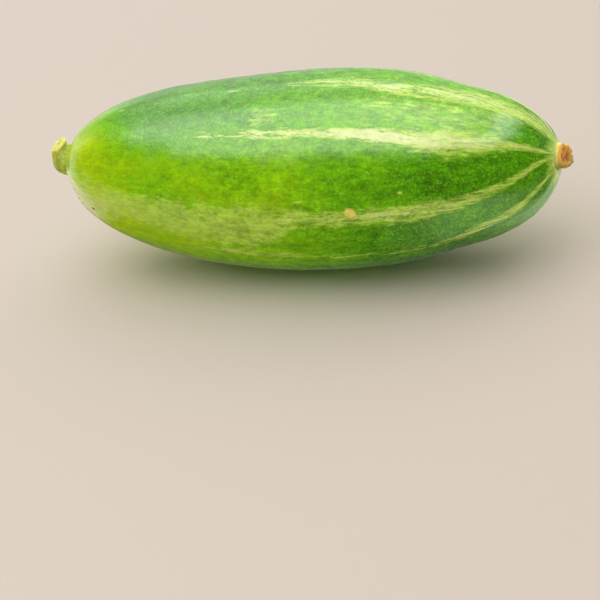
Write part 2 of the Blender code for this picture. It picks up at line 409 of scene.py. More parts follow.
def fruit_points(share, angle):
    """Radius (1 - share^2)^(1/bluntness), plus fullness, ribs, dents and ripples, round a slightly bent axis."""
    along = np.where(share < 0, STEM_HALF, FLOWER_HALF) * share + 0 * angle
    bluntness = np.where(share < 0, STEM_BLUNTNESS, FLOWER_BLUNTNESS)
    radius = FRUIT_RADIUS * np.clip(1 - share**2, 0, 1) ** (1 / bluntness)
    lift = np.where(share < 0, STEM_END_LIFT, FLOWER_END_LIFT)
    rise = BEND * share**2 + lift * (1 - radius / FRUIT_RADIUS) ** 4
    fuller = BACK_FULLNESS * (1 + np.cos(angle)) / 2 * share * (1 - share**2)

    ribs = np.radians(RIB_ANGLES)
    around = np.concatenate([ribs[-1:] - 2 * np.pi, ribs, ribs[:1] + 2 * np.pi])
    turns = np.interp(angle % (2 * np.pi), around, np.arange(-1, len(ribs) + 1))
    girth = radius / FRUIT_RADIUS
    relief = RIB_HEIGHT * np.cos(2 * np.pi * turns) * girth * (1 - RIB_FADE * girth) * 4 * RIB_FADE
    for place, facing, depth, half_length in DENTS:
        away = (angle - math.radians(facing) + np.pi) % (2 * np.pi) - np.pi
        fade = ((along - place) / half_length) ** 2 + (away / DENT_HALF_WIDTH) ** 2
        relief = relief - depth * np.exp(-fade) * girth
    rough = np.stack([along, radius * np.sin(angle), radius * np.cos(angle)], axis=-1)
    relief = relief + RIPPLE_HEIGHT * ripples(rough, RIPPLE_LENGTH, 3) * girth - SKIN_INSET * girth
    reach = radius * (1 + fuller) + relief
    height = AXIS_HEIGHT + rise + reach * np.cos(angle)
    height = (height + np.sqrt(height**2 + FLAT_SOFTNESS**2)) / 2  # a soft maximum of height and 0: the flat spot
    for end, (lip_radius, lip_width, lip_height) in ((-1, STEM_LIP), (1, FLOWER_LIP)):
        lip = lip_height * np.exp(-(((radius - lip_radius) / lip_width) ** 2))
        along = along + end * lip * (np.sign(share) == end)
    return np.stack([along, reach * np.sin(angle), height], axis=-1)


def fruit_pole(end):
    """The place of the stem pole (-1) or the flower pole (1)."""
    lift, half = (STEM_END_LIFT, STEM_HALF) if end < 0 else (FLOWER_END_LIFT, FLOWER_HALF)
    return np.array([end * half, 0.0, AXIS_HEIGHT + BEND + lift])


print("poles in mm:", (fruit_pole(-1) / MM).round(2), (fruit_pole(1) / MM).round(2))

# %% [markdown]
# ## From a grid of points to a mesh
#
# Every piece here is a tube: rows of points that go round, closed by a fan at each end. The helper gets the rows
# as one array, adds the two end points and writes all the faces at once. The first row winds so that the faces
# look outwards. A second helper stores values on the points, for the materials to read.

# %% Helpers for meshes
def closed_tube(name, rows, first_tip, last_tip):
    """A mesh from an array (rows, columns, 3) that goes round, with a fan of triangles to each tip."""
    count, columns = rows.shape[:2]
    index = np.arange(count * columns).reshape(count, columns)
    following = np.roll(index, -1, axis=1)
    quads = np.stack([index[:-1], index[1:], following[1:], following[:-1]], axis=-1).reshape(-1, 4)
    first, last = count * columns, count * columns + 1
    start_fan = np.stack([np.full(columns, first), index[0], following[0]], axis=-1)
    end_fan = np.stack([np.full(columns, last), following[-1], index[-1]], axis=-1)
    points = np.concatenate([rows.reshape(-1, 3), [first_tip], [last_tip]])
    mesh = bpy.data.meshes.new(name)
    mesh.from_pydata(points.tolist(), [], quads.tolist() + start_fan.tolist() + end_fan.tolist())
    mesh.shade_smooth()
    return add_object(name, mesh)


def store(piece, name, rows, first_tip, last_tip):
    """Keeps one number or one vector for each point of a closed tube."""
    is_vector = rows.ndim == 3
    values = np.concatenate([rows.reshape(-1, 3) if is_vector else rows.ravel(), [first_tip], [last_tip]])
    kept = piece.data.attributes.new(name, "FLOAT_VECTOR" if is_vector else "FLOAT", "POINT")
    kept.data.foreach_set("vector" if is_vector else "value", values.astype(np.float32).ravel())


print("a tube of 3 rows and 4 columns has", 2 * 4 + 2 * 4, "faces")

# %% [markdown]
# ## The skin's grid
#
# The rows lie closer together towards the poles, where the shape turns fastest: their shares along the fruit are
# the cosines of even steps. Points about 0.4 mm apart carry smooth maps of the colour zones, and the shader draws
# all finer marks.

# %% Make the skin
SKIN_ROWS = 372
SKIN_COLUMNS = 264

share = -np.cos(np.linspace(0, np.pi, SKIN_ROWS + 2))[1:-1, None]
angle = np.linspace(0, 2 * np.pi, SKIN_COLUMNS, endpoint=False)[None, :]
skin_rows = fruit_points(share, angle)
fruit_skin = closed_tube("fruit_skin", skin_rows, fruit_pole(-1), fruit_pole(1))
triangles = sum(len(face.vertices) - 2 for face in fruit_skin.data.polygons)
print("skin:", len(fruit_skin.data.vertices), "points,", triangles, "triangles")

# %% [markdown]
# ## Where the stripes run
#
# Each pale stripe follows a rib from end to end. It is thin and broken near the stem and grows wide and solid
# towards the flower, and close to that end all stripes run together. A picture could be painted for this, but a
# stripe is better said in a few numbers: at some places along the fruit, its angle, its half width, how solid
# its dashes are and how much pale wash lies round them. Values between are interpolated.

# %% Stripe table
STRIPES = (  # each stripe: rows of (mm along X, angle, half width in degrees, solidness, wash)
    # The middle one.
    ((-17, 317.5, 2, 0, 0), (-14, 317.5, 2.8, 0.62, 0.05), (-8, 317, 2.9, 0.52, 0.1),
     (-2, 316.5, 3.4, 0.66, 0.15), (5, 316.5, 3.8, 0.58, 0.2), (11, 316.5, 4.2, 0.64, 0.3), (15, 316, 4.6, 0.74, 0.4),
     (18, 315.3, 5.4, 0.84, 0.5), (22, 314.5, 5.6, 0.76, 0.55), (26, 313, 7, 0.64, 0.7), (32, 312, 9.2, 0.6, 0.8),
     (36, 312.5, 8.4, 0.56, 0.8), (42, 314, 4, 0.55, 0.8), (46, 314, 3.5, 0.5, 0.95)),
    # The upper one.
    ((-2, 353, 2.5, 0, 0), (2, 353, 3.2, 0.45, 0.1), (8, 354, 5.6, 0.5, 0.32), (14, 354, 7, 0.52, 0.42),
     (19, 350.5, 6, 0.65, 0.45), (24, 352, 7.5, 0.6, 0.55), (30, 354, 11, 0.56, 0.6), (34, 355, 14, 0.54, 0.58),
     (38, 357, 15, 0.5, 0.6), (42, 359, 14, 0.44, 0.75), (46, 366, 14, 0.35, 0.85)),
    # The low one, a broad pale wash near the stem.
    ((-44, 252, 34, 0.9, 1), (-38, 248, 32, 0.8, 1), (-36, 254, 21, 0.3, 1), (-34, 265, 14, 0, 0.9),
     (-30, 267.5, 9.8, 0, 0.85), (-20, 264, 11.5, 0, 0.85), (-15, 262, 12, 0.08, 0.85), (-10, 261, 12, 0.15, 0.85),
     (-3, 262, 12, 0.3, 0.85), (2, 267, 6.2, 0.55, 0.7), (6, 267.5, 5, 0.5, 0.6), (12, 266.5, 5, 0.5, 0.55),
     (18, 266.5, 5.8, 0.6, 0.65), (25, 266.5, 6.4, 0.58, 0.7), (32, 269, 5.8, 0.5, 0.6), (36, 272, 4.4, 0.46, 0.6),
     (40, 276, 4, 0.42, 0.65), (43, 284, 4, 0.42, 0.8), (46, 298, 4, 0.35, 0.85)),
    # The lowest one.
    ((-20, 243, 3, 0, 0.1), (-16, 242, 3, 0.3, 0.4), (-8, 241.5, 3.2, 0.45, 0.5), (0, 240, 3, 0.4, 0.4),
     (5, 238, 3, 0.4, 0.2), (14, 236, 3.5, 0.5, 0.3), (20, 235, 3, 0.4, 0.2), (26, 233.5, 3.5, 0.52, 0.3),
     (30, 234.5, 4, 0.5, 0.45), (34, 239.5, 4.2, 0.48, 0.55), (38, 242, 4.4, 0.5, 0.65), (42, 246, 4.4, 0.48, 0.7),
     (46, 258, 4, 0.35, 0.85)),
    # Two places with a wash and no dashes.
    ((6, 334, 6, 0, 0), (16, 334, 9, 0, 0.35), (30, 333, 11, 0, 0.45), (39, 333, 11, 0, 0.4), (42, 333, 8, 0, 0)),
    ((-7, 328, 3, 0, 0), (-4, 328, 6, 0, 0.5), (-1, 327, 5, 0, 0.45), (3, 327, 3, 0, 0)),
)
PLAIN_STRIPES = (  # the sides that the picture doesn't show: angle, start in mm, half width at the flower end
    (22, -6, 5), (58, -14, 5.5), (92, 2, 4), (127, -20, 5.5), (163, -10, 4.5), (200, -4, 4),
)
FLOWER_WASH_START = 45.3  # mm along X from where all the skin round the flower's base turns yellow green


def plain_stripe(middle, start, half_width):
    """A stripe's rows: thin and broken at its start, wide and solid at the flower end, and slightly wandering."""
    places = np.linspace(start, 46, 9)
    grown = (places - start) / (46 - start)
    wander = 1.6 * np.sin(places / 9 + middle)
    width = half_width * (0.45 + 0.75 * grown - 0.35 * np.clip(grown - 0.8, 0, None) / 0.2)
    solid = 0.48 + 0.2 * grown + 0.12 * np.sin(places / 5 + 2 * middle)
    solid[0] = 0.0
    return np.stack([places, middle + wander, 1.15 * width, solid, 0.15 + 0.6 * grown], axis=1)


def stripe_maps(along_mm, angle_degrees):
    """How solid the dashes and the wash are at each point: the strongest stripe there, faded by a bell curve."""
    solidness = np.zeros(np.broadcast(along_mm, angle_degrees).shape)
    washed = np.zeros_like(solidness)
    for rows in [*map(np.array, STRIPES), *(plain_stripe(*values) for values in PLAIN_STRIPES)]:
        places, *columns = rows.T
        middle, width, solid, wash = (np.interp(along_mm, places, column) for column in columns)
        offset = (angle_degrees - middle + 180) % 360 - 180
        solidness = np.maximum(solidness, solid * np.exp(-np.abs(offset / width) ** 3))
        washed = np.maximum(washed, wash * np.exp(-np.abs(offset / (1.3 * width)) ** 3))
    near_flower = np.clip((along_mm - FLOWER_WASH_START) / (FLOWER_HALF / MM - FLOWER_WASH_START), 0, 1)
    washed = np.maximum(washed, near_flower + 0 * angle_degrees)
    return solidness * (1 - 0.8 * near_flower), washed


along_mm = skin_rows[..., 0] / MM
angle_degrees = np.degrees(angle) + 0 * along_mm
solidness, washed = stripe_maps(along_mm, angle_degrees)
store(fruit_skin, "stripe", solidness, solidness[0].mean(), solidness[-1].mean())
store(fruit_skin, "wash", washed, washed[0].mean(), washed[-1].mean())
print("share of the skin under stripes:", round(float((solidness > 0.3).mean()), 3))

# %% [markdown]
# ## How the green changes along the fruit
#
# The stem end is lime, almost yellow, and the green deepens towards the flower end. Low on the stem end lies an
# olive yellow patch, where the fruit was shaded by a leaf or lay on the ground. One number for each point, from
# 0 for yellow to 1 for deep green, is enough: the material turns it into a colour. Four curves give it along the
# fruit, low down, in front, above that and on the crown, and shares round the fruit blend them. A vector is stored
# too, the place on the unrolled skin in mm, so that streaks can follow the fruit round its bend and into its ends.

# %% Colour zones and unrolled place
ZONES = {  # (mm along X, deepness)
    "low": ((-44, 0.16), (-30, 0.2), (-20, 0.26), (0, 0.46), (10, 0.62), (15, 0.82), (25, 0.94), (46, 0.94)),
    "front": ((-44, 0.22), (-35, 0.12), (-30, 0.2), (-22, 0.38), (-8, 0.4), (2, 0.34), (7, 0.46), (12, 0.62),
              (20, 0.74), (27, 0.84), (46, 0.88)),
    "top": ((-44, 0.05), (-38, 0.05), (-34, 0.38), (-30, 0.62), (-25, 0.84), (-12, 0.8), (0, 0.72), (20, 0.66),
            (38, 0.62), (43, 0.86), (46, 0.88)),
    "crown": ((-44, 0.08), (-38, 0.3), (-34, 0.62), (-30, 0.84), (-25, 0.9), (-12, 0.84), (0, 0.78), (20, 0.66),
              (38, 0.62), (43, 0.86), (46, 0.88)),
}
ZONE_ANGLES = (0, 90, 150, 248, 272, 300, 322, 342, 360)
ZONE_SHARES = {"low": (0, 0, 1, 1, 0.1, 0, 0, 0, 0), "front": (0, 0, 0, 0, 0.9, 0.9, 0, 0, 0),
               "top": (0, 0, 0, 0, 0, 0.1, 1, 0, 0), "crown": (1, 1, 0, 0, 0, 0, 0, 1, 1)}


def deepness(along_mm, angle_degrees, points):
    """0 yellow to 1 deep green: four curves along the fruit, blended round it, plus slow ripples."""
    tone = 0.05 * ripples(points * np.array([0.5, 1.0, 1.0]), 8 * MM, 11)
    for side, rows in ZONES.items():
        curve = np.interp(along_mm, *np.transpose(rows))
        tone = tone + curve * np.interp(angle_degrees, ZONE_ANGLES, ZONE_SHARES[side])
    return tone


tone = deepness(along_mm, angle_degrees, skin_rows)
store(fruit_skin, "deepness", tone, tone[0].mean(), tone[-1].mean())

steps = np.linalg.norm(np.diff(skin_rows, axis=0), axis=2).mean(axis=1)
walked = np.concatenate([[0.0], np.cumsum(steps)])
walked = (walked - walked[SKIN_ROWS // 2]) / MM
girth_mm = FRUIT_RADIUS / MM
around_mm = (girth_mm * np.sin(angle) + 0 * share, girth_mm * np.cos(angle) + 0 * share)
unrolled = np.stack([walked[:, None] + 0 * angle, *around_mm], axis=-1)
store(fruit_skin, "unrolled", unrolled, (walked[0], 0, 0), (walked[-1], 0, 0))
print("walk from pole to pole in mm:", round(float(walked[-1] - walked[0]), 1))

# %% [markdown]
# ## Ragged patches, a node group
#
# A stripe isn't painted with an even edge. It is made of narrow patches of pale cells, blunt at their ends,
# crowded in the middle of the stripe and scattered beside it. Noise with a threshold makes soft blobs, so this
# group uses Voronoi cells instead, drawn out along the fruit: each cell has a random number, and it turns pale
# where the number is below the stripe's solidness. Two sizes of cells and a little noise share the say, so that
# no cell's outline is seen whole.

# %% Build the ragged patches group
CELL_SCALES = ((1.0, 0.5), (2.1, 0.3))  # how fine each set of cells is, and its say in the chance
CRUMB_SAY = 0.2


def new_group(name, values, results):
    """An empty group that takes a Place and values, with their usual settings, and gives results."""
    group = bpy.data.node_groups.new(name, "ShaderNodeTree")
    group.interface.new_socket("Place", in_out="INPUT", socket_type="NodeSocketVector")
    for key, usual in values.items():
        group.interface.new_socket(key, in_out="INPUT", socket_type="NodeSocketFloat").default_value = usual
    for key in results:
        group.interface.new_socket(key, in_out="OUTPUT", socket_type="NodeSocketFloat")
    return group, add_node(group, "NodeGroupInput").outputs


def ragged_patches_group():
    """Mask of cells, Length by Width mm, whose random number is below Solidness. Wobble bends their edges."""
    usual = {"Solidness": 0.5, "Length": 4.0, "Width": 0.5, "Wobble": 0.4}
    group, given = new_group("ragged_patches", usual, ("Mask", "Chance"))
    waves = {"Vector": given["Place"], "Scale": 0.9, "Detail": 2.0}
    bent = join("ShaderNodeTexNoise", waves)["Color"]
    bent = vector_maths("SUBTRACT", bent, (0.5, 0.5, 0.5))
    bent = vector_maths("ADD", given["Place"], scaled(bent, given["Wobble"]))
    size = {"X": given["Length"], "Y": given["Width"], "Z": given["Width"]}
    cells = vector_maths("DIVIDE", bent, join("ShaderNodeCombineXYZ", size)[0])
    chances = []
    for scale, say in CELL_SCALES:
        inputs = {"Vector": cells, "Scale": scale, "Randomness": 1.0}
        colour = join("ShaderNodeTexVoronoi", inputs)["Color"]
        chances.append(multiply(join("ShaderNodeSeparateColor", {0: colour})[0], say))
    crumbs = soft_step(noise(cells, 4.0), 0.3, 0.7, 0.0, CRUMB_SAY)
    chance = add(*chances, crumbs)
    mask = soft_step(maths("SUBTRACT", given["Solidness"], chance), -0.04, 0.06)
    join("NodeGroupOutput", {"Mask": mask, "Chance": chance})
    return group


ragged_patches = ragged_patches_group()
print("ragged patches:", len(ragged_patches.nodes), "nodes")

# %% [markdown]
# ## Corky grain, a node group
#
# The scab on the skin, the cut of the stem and the dried flower base are all dead cork. Cork has a crumbled
# relief with small pits, and the materials paint the shade in them as a darker colour. The group mixes two sizes
# of noise for the crumbs and takes the pits from a Voronoi texture.

# %% Build the corky grain group
PIT_DEPTH = 0.35  # as a share of the crumbs' height


def corky_grain_group():
    """Crumbs: two sizes of noise. Pits: where the distance to the nearest of random points is small."""
    group, given = new_group("corky_grain", {"Crumb": 0.4}, ("Height", "Pits"))
    scale = maths("DIVIDE", 1.0, given["Crumb"])
    coarse = noise(given["Place"], scale, 3.0, 0.6)
    fine = noise(given["Place"], multiply(scale, 3.1))
    spots = join("ShaderNodeTexVoronoi", {"Vector": given["Place"], "Scale": scale})["Distance"]
    pits = soft_step(spots, 0.12, 0.34, 1.0, 0.0)
    height = add(multiply(coarse, 0.7), multiply(fine, 0.3))
    height = maths("SUBTRACT", height, multiply(pits, PIT_DEPTH))
    join("NodeGroupOutput", {"Height": height, "Pits": pits})
    return group


def patches_and_cork(place, spot_mm, solidness, length, width, wobble, crumb):
    """The outputs of both groups: patches at a place along the piece, and cork at a place in space."""
    inputs = {"Place": place, "Solidness": solidness, "Length": length, "Width": width, "Wobble": wobble}
    return use_group(ragged_patches, inputs), use_group(corky_grain, {"Place": spot_mm, "Crumb": crumb})


corky_grain = corky_grain_group()
print("corky grain:", len(corky_grain.nodes), "nodes")

# %% [markdown]
# ## The skin's finish
#
# Under a thin wax the skin is mottled: short streaks along the fruit, fine pale specks, then the wash and the
# dashes of the stripes. A colour ramp turns deepness into green, after streaks and mottling have shifted it, so
# that every mark stays in the family of its zone. A few lone dashes, dark flecks and one small corky scab lie
# among the stripes. Last, a fine grain lightens and darkens everything, because a shift of the deepness alone
# would change the hue and not the brightness. The wax is a low roughness, and a faint bump breaks up the panels'
# mirror images.

# %% Make the skin's material
GREENS = (  # deepness and colour
    (0.0, (200, 230, 4)), (0.2, (170, 216, 4)), (0.4, (140, 208, 4)),
    (0.6, (114, 190, 4)), (0.8, (86, 166, 5)), (1.0, (60, 132, 5)),
)
WASH_COLOUR = linear(204, 236, 98)
PALE_WASH_COLOUR = linear(228, 244, 152)  # where the wash is whole
SPECK_COLOUR = linear(182, 232, 52)
PALE_DASH = linear(242, 252, 172)
YELLOW_DASH = linear(208, 234, 98)
FLECK_COLOUR = linear(70, 84, 24)
SCAB_COLOUR, SCAB_RING, SCAB_PIT_SHADE = linear(238, 228, 104), linear(226, 196, 66), linear(206, 164, 58)
LONE_DASHES = (  # mm along the unrolled skin, angle, length and width in mm
    (18.9, 337.5, 3.4, 0.5), (-9.8, 350, 2.4, 0.4), (-32.5, 350, 1.6, 0.35), (4.5, 278, 1.8, 0.35),
    (22.8, 281, 1.0, 0.6), (-22, 96, 2.2, 0.4), (9, 112, 1.8, 0.45), (-12, 182, 2.6, 0.4), (30, 146, 2.0, 0.4),
)
DARK_FLECKS = (  # the same
    (-43.4, 257, 0.6, 0.8), (-43.9, 246, 0.7, 0.9), (-42.9, 243, 1.0, 0.8), (-41.7, 239, 0.6, 1.0),
    (-39.2, 250, 0.9, 0.9),
)
SCAB_SHARE, SCAB_ANGLE = 13.8 * MM / FLOWER_HALF, math.radians(270)
SCAB_PLACE = fruit_points(np.array([[SCAB_SHARE]]), np.array([[SCAB_ANGLE]]))[0, 0]
SCAB_RADIUS_MM = 1.1
GRAIN_BY_TONE = (0.1, 0.5, 1.0, 1.9)  # the grain's strength grows with the deepness
GRAIN_BY_PLACE = (-22.0, -4.0, 1.0, 1.45)  # and in mm along X


def unrolled_place(along, degrees):
    turn = math.radians(degrees)
    return (along, girth_mm * math.sin(turn), girth_mm * math.cos(turn))


def lone_marks(place, specks, table):
    """Mask of ellipsoids of each row's place and size, with edges roughened by the specks."""
    marks = 0.0
    for along, degrees, length, width in table:
        offset = vector_maths("SUBTRACT", place, unrolled_place(along, degrees))
        offset = vector_maths("DIVIDE", offset, (length / 2, width / 2, width / 2))
        far = add(vector_length(offset), multiply(specks, 0.6))
        marks = maths("MAXIMUM", soft_step(far, 1.0, 1.5, 1.0, 0.0), marks)
    return marks


def skin_paint(tree):
    place = attribute(tree, "unrolled", "Vector")
    solid = attribute(tree, "stripe")
    wash = attribute(tree, "wash")
    tone = attribute(tree, "deepness")
    spot_mm = place_in_mm(tree)

    # Streaks along the fruit and mottling shift the deepness. The darker the skin, the plainer its fine specks.
    streaks = noise(vector_maths("MULTIPLY", place, (0.22, 1.5, 1.5)), 1.0, 4.0, 0.6)
    blotches = noise(vector_maths("MULTIPLY", place, (0.4, 1.4, 1.4)), 1.0, 4.0, 0.7)
    mottle = noise(spot_mm, 0.8, 4.0, 0.75)
    specks = noise(spot_mm, 2.4, 2.0, 0.6)
    colour = colour_ramp(add(swing(streaks, 0.30), swing(mottle, 0.75), tone), GREENS)
    by_tone, by_mottle = soft_step(tone, 0.0, 0.7, 0.24, 0.42), soft_step(mottle, 0.36, 0.6, 0.35, 1.0)
    speck_share = multiply(soft_step(specks, 0.47, 0.66), by_tone, by_mottle)
    colour = blend(speck_share, colour, SPECK_COLOUR)

    # The wash is broken by blotches of green where it is weak, and palest where it is whole.
    washed = add(wash, swing(blotches, 2.2))
    by_wash = soft_step(wash, 0.0, 0.4, 0.0, 0.9)
    thinned = soft_step(add(streaks, mottle), 0.75, 1.25, 0.6)
    wash_share = multiply(soft_step(washed, 0.22, 0.82), by_wash, thinned)
    wash_colour = blend(soft_step(wash, 0.82, 1.0), WASH_COLOUR, PALE_WASH_COLOUR)
    colour = blend(wash_share, colour, wash_colour)

    # Dashes of pale cells, and the lone marks.
    patches, cork = patches_and_cork(place, spot_mm, solid, 3.8, 0.52, 0.5, 0.5)
    dashes = maths("MAXIMUM", patches["Mask"], lone_marks(place, specks, LONE_DASHES))
    dash_colour = blend(soft_step(solid, 0.4, 0.75), YELLOW_DASH, PALE_DASH)
    colour = blend(multiply(dashes, soft_step(mottle, 0.3, 0.6, 0.72, 0.96)), colour, dash_colour)
    colour = blend(lone_marks(place, specks, DARK_FLECKS), colour, FLECK_COLOUR)

    # The scab: pale cork with a darker ring, and its pits darkened as painted shade.
    far = vector_length(vector_maths("SUBTRACT", spot_mm, tuple(SCAB_PLACE / MM)))
    far = add(far, swing(mottle, 1.2))
    scab = soft_step(far, 0.8 * SCAB_RADIUS_MM, 1.1 * SCAB_RADIUS_MM, 1.0, 0.0)
    ring = multiply(soft_step(far, 0.75, 1.05), scab)
    scab_colour = blend(ring, SCAB_COLOUR, SCAB_RING)
    scab_colour = blend(multiply(cork["Pits"], 0.5), scab_colour, SCAB_PIT_SHADE)
    colour = blend(scab, colour, scab_colour)

    # The fine grain is weakest on yellow skin, towards the stem and on dashes.
    grain = noise(vector_maths("MULTIPLY", place, (0.45, 0.7, 0.7)), 1.0, 6.0, 0.82)
    grain = swing(grain, soft_step(tone, *GRAIN_BY_TONE))
    by_place = soft_step(axes_of(spot_mm)["X"], *GRAIN_BY_PLACE)
    grain = multiply(grain, soft_step(dashes, 0.0, 1.0, 1.0, 0.4), by_place)
    colour = scaled(colour, add(grain, 1.0))

    rough = add(soft_step(mottle, 0.3, 0.7, 0.14, 0.22), multiply(scab, 0.4))
    pores = noise(spot_mm, 1.7, 3.0, 0.6)
    relief = add(multiply(pores, 0.04), multiply(streaks, 0.02), multiply(scab, cork["Height"], 0.25))
    return colour, rough, 0.2, relief


dress(fruit_skin.data, "waxy_striped_skin", skin_paint)

# %% [markdown]
# ## The stem's stub
#
# The fruit was cut from its vine with a few millimetres of stem, thick and ridged at the fruit, bent upwards,
# and ended by one slanting cut. The shape is a tapered peg whose length is folded up in a fan about a line just
# above its base. Each line of points along it ends where it meets the cutting plane, found by halving the
# distance again and again for all lines at once, so the cut face is truly flat before it gets its rough grain.

# %% Stem formula and mesh
FIT_GAP = 0.3 * MM
STEM_BASE_RADIUS = 2.8 * MM
STEM_END_RADIUS = 1.35 * MM
STEM_TAPER_LENGTH = 2.0 * MM
STEM_FOLD = math.radians(88)
STEM_FOLD_LENGTH = 3.4 * MM
STEM_STRAIGHT = 2.3 * MM
STEM_PIVOT_GAP = 0.15 * MM
STEM_RIDGES = 5
STEM_RIDGE_SHARE = 0.05
STEM_CUT_CENTRE = np.array([-1.65 * MM, 0.0, 3.35 * MM])
STEM_CUT_FACING = unit(-0.38, -0.36, 0.85)
STEM_CUT_DOME = 0.3 * MM  # the dry cut swells a little in its middle
STEM_SUNK = 0.7 * MM  # how deep the foot reaches into the skin
STEM_ROWS, STEM_COLUMNS, CUT_ROWS = 90, 144, 22
STEM_GIRTH_MM = 2.2  # the radius at which the fibres are unrolled


def stem_points(out, turn):
    """A peg whose radius shrinks like 1 / (1 + out^4), with ridges and fibres, folded upwards by STEM_FOLD."""
    share = np.clip(out - FIT_GAP, 0, None) / STEM_TAPER_LENGTH
    radius = STEM_END_RADIUS + (STEM_BASE_RADIUS - STEM_END_RADIUS) / (1 + share**4)
    ridges = 1 + STEM_RIDGE_SHARE * (np.cos(STEM_RIDGES * turn) - 1)
    fibres = 0.012 * np.cos(17 * turn + 3 * np.sin(2 * turn)) + 0.007 * np.cos(31 * turn + 900 * out) - 0.018
    flare = 0.2 * MM * np.exp(-np.clip(out, 0, None) / (0.5 * MM))
    wide = radius * (ridges + fibres * np.clip(out / MM, 0, 1)) + flare
    upward, sideways = wide * np.cos(turn), wide * np.sin(turn)
    fold = STEM_FOLD * np.clip((out - FIT_GAP) / STEM_FOLD_LENGTH, 0, 1)
    straight = np.clip(out - FIT_GAP - STEM_FOLD_LENGTH, 0, None) + np.clip(out - FIT_GAP, None, 0)
    reach = radius + STEM_PIVOT_GAP - upward
    along = FIT_GAP + reach * np.sin(fold) + straight * np.cos(fold)
    rise = STEM_BASE_RADIUS + STEM_PIVOT_GAP - reach * np.cos(fold) + straight * np.sin(fold)
    return np.stack([-along, sideways + 0 * along, rise], axis=-1)


def length_to_cut(turn):
    """For each line along the peg, how far out it meets the cutting plane."""
    near = np.full_like(turn, FIT_GAP)
    far = np.full_like(turn, FIT_GAP + STEM_FOLD_LENGTH + STEM_STRAIGHT)
    for _ in range(40):
        middle = (near + far) / 2
        beyond = (stem_points(middle, turn) - STEM_CUT_CENTRE) @ STEM_CUT_FACING > 0
        near, far = np.where(beyond, near, middle), np.where(beyond, middle, far)
    return near


turn = np.linspace(0, 2 * np.pi, STEM_COLUMNS, endpoint=False)
ends = length_to_cut(turn)
steps = np.linspace(0, 1, STEM_ROWS)[:, None]
side_path = -STEM_SUNK + (ends + STEM_SUNK) * steps
side_rows = stem_points(side_path, turn[None, :])
rim = side_rows[-1]
centre = rim.mean(axis=0)
shrink = np.linspace(0.97, 0.04, CUT_ROWS)[:, None]
cut_rows = centre + (rim - centre)[None] * shrink[..., None]
grain = ripples(cut_rows, 0.5 * MM, 21) * 0.03 * MM + ripples(cut_rows, 1.4 * MM, 22) * 0.04 * MM
domed = grain + STEM_CUT_DOME * (1 - shrink**2)
cut_rows = cut_rows + domed[..., None] * STEM_CUT_FACING
stem_rows = np.concatenate([side_rows, cut_rows])
foot = np.array([STEM_SUNK, 0.0, 0.0])
pole = fruit_pole(-1)
tip = centre + STEM_CUT_DOME * STEM_CUT_FACING
stem_stub = closed_tube("stem_stub_dressed", stem_rows[:, ::-1] + pole, foot + pole, tip + pole)
whole = np.ones((CUT_ROWS, STEM_COLUMNS))
is_cut = np.concatenate([np.repeat(np.clip(steps * 12 - 11, 0, 0.5), STEM_COLUMNS, axis=1), whole])
up_stem = np.concatenate([np.repeat(steps, STEM_COLUMNS, axis=1), whole])
path_mm = np.concatenate([side_path / MM, ends[None] / MM + (1 - shrink) * 1.5])
around_mm = (STEM_GIRTH_MM * np.sin(turn) + 0 * path_mm, STEM_GIRTH_MM * np.cos(turn) + 0 * path_mm)
stem_place = np.stack([path_mm, *around_mm], axis=-1)
store(stem_stub, "cut", is_cut[:, ::-1], 0.0, 1.0)
store(stem_stub, "up_stem", up_stem[:, ::-1], 0.0, 1.0)
store(stem_stub, "fibre_place", stem_place[:, ::-1], (0, 0, 0), (7, 0, 0))
print("stem stub:", len(stem_stub.data.vertices), "points")

# %% [markdown]
# ## The stem's finish
#
# The side is green bark over fibres: olive, with shade painted darker where the cork's relief is low, drying to
# yellow at the cut. The cut shows dry pith, bright yellow with pale clouds and small pits whose shade is painted
# darker. The same two groups as on the skin draw the fibres and the cork, at their own scales.

# %% Make the stem's material
BARK_DARK, BARK_LIGHT, BARK_HOLLOW_SHADE = linear(152, 170, 40), linear(206, 222, 78), linear(92, 108, 24)
BARK_FIBRE, BARK_DRIED = linear(206, 216, 104), linear(214, 196, 40)
PITH_YELLOW, PITH_PALE, PITH_PIT_SHADE = linear(255, 238, 40), linear(255, 254, 150), linear(214, 186, 40)


def stem_paint(tree):
    cut = attribute(tree, "cut")
    up = attribute(tree, "up_stem")
    spot_mm = place_in_mm(tree)
    fibres, cork = patches_and_cork(attribute(tree, "fibre_place", "Vector"), spot_mm, 0.45, 2.2, 0.22, 0.3, 0.45)
    cloud = noise(spot_mm, 0.8, 3.0)
    side = blend(soft_step(cloud, 0.35, 0.65), BARK_DARK, BARK_LIGHT)
    side = blend(multiply(fibres["Mask"], 0.4), side, BARK_FIBRE)
    # Painted shade: the bark is darker where the cork's relief is low.
    side = blend(multiply(soft_step(cork["Height"], 0.45, 0.25), 0.4), side, BARK_HOLLOW_SHADE)
    side = blend(soft_step(up, 0.72, 1.0, 0.0, 0.9), side, BARK_DRIED)
    pith = blend(soft_step(cloud, 0.35, 0.62), PITH_YELLOW, PITH_PALE)
    # Painted shade: the pith is darker in its pits.
    pith = blend(multiply(cork["Pits"], 0.7), pith, PITH_PIT_SHADE)
    colour = blend(soft_step(cut, 0.3, 0.7), side, pith)
    relief = add(multiply(fibres["Chance"], 0.06), multiply(cork["Height"], 0.12))
    return colour, 0.7, 0.15, relief


dress(stem_stub.data, "fibrous_stem", stem_paint)

# %% [markdown]
# ## The flower's dried base
#
# When the flower withered it left a short corky collar with a ragged rim round a hollowed, darkened end. It is a
# profile turned about the fruit's axis and bent to one side above its neck. The rim waves in and out and up and
# down, more towards its edge, and five lobes remember the five petals. Small random relief makes it crumbly.

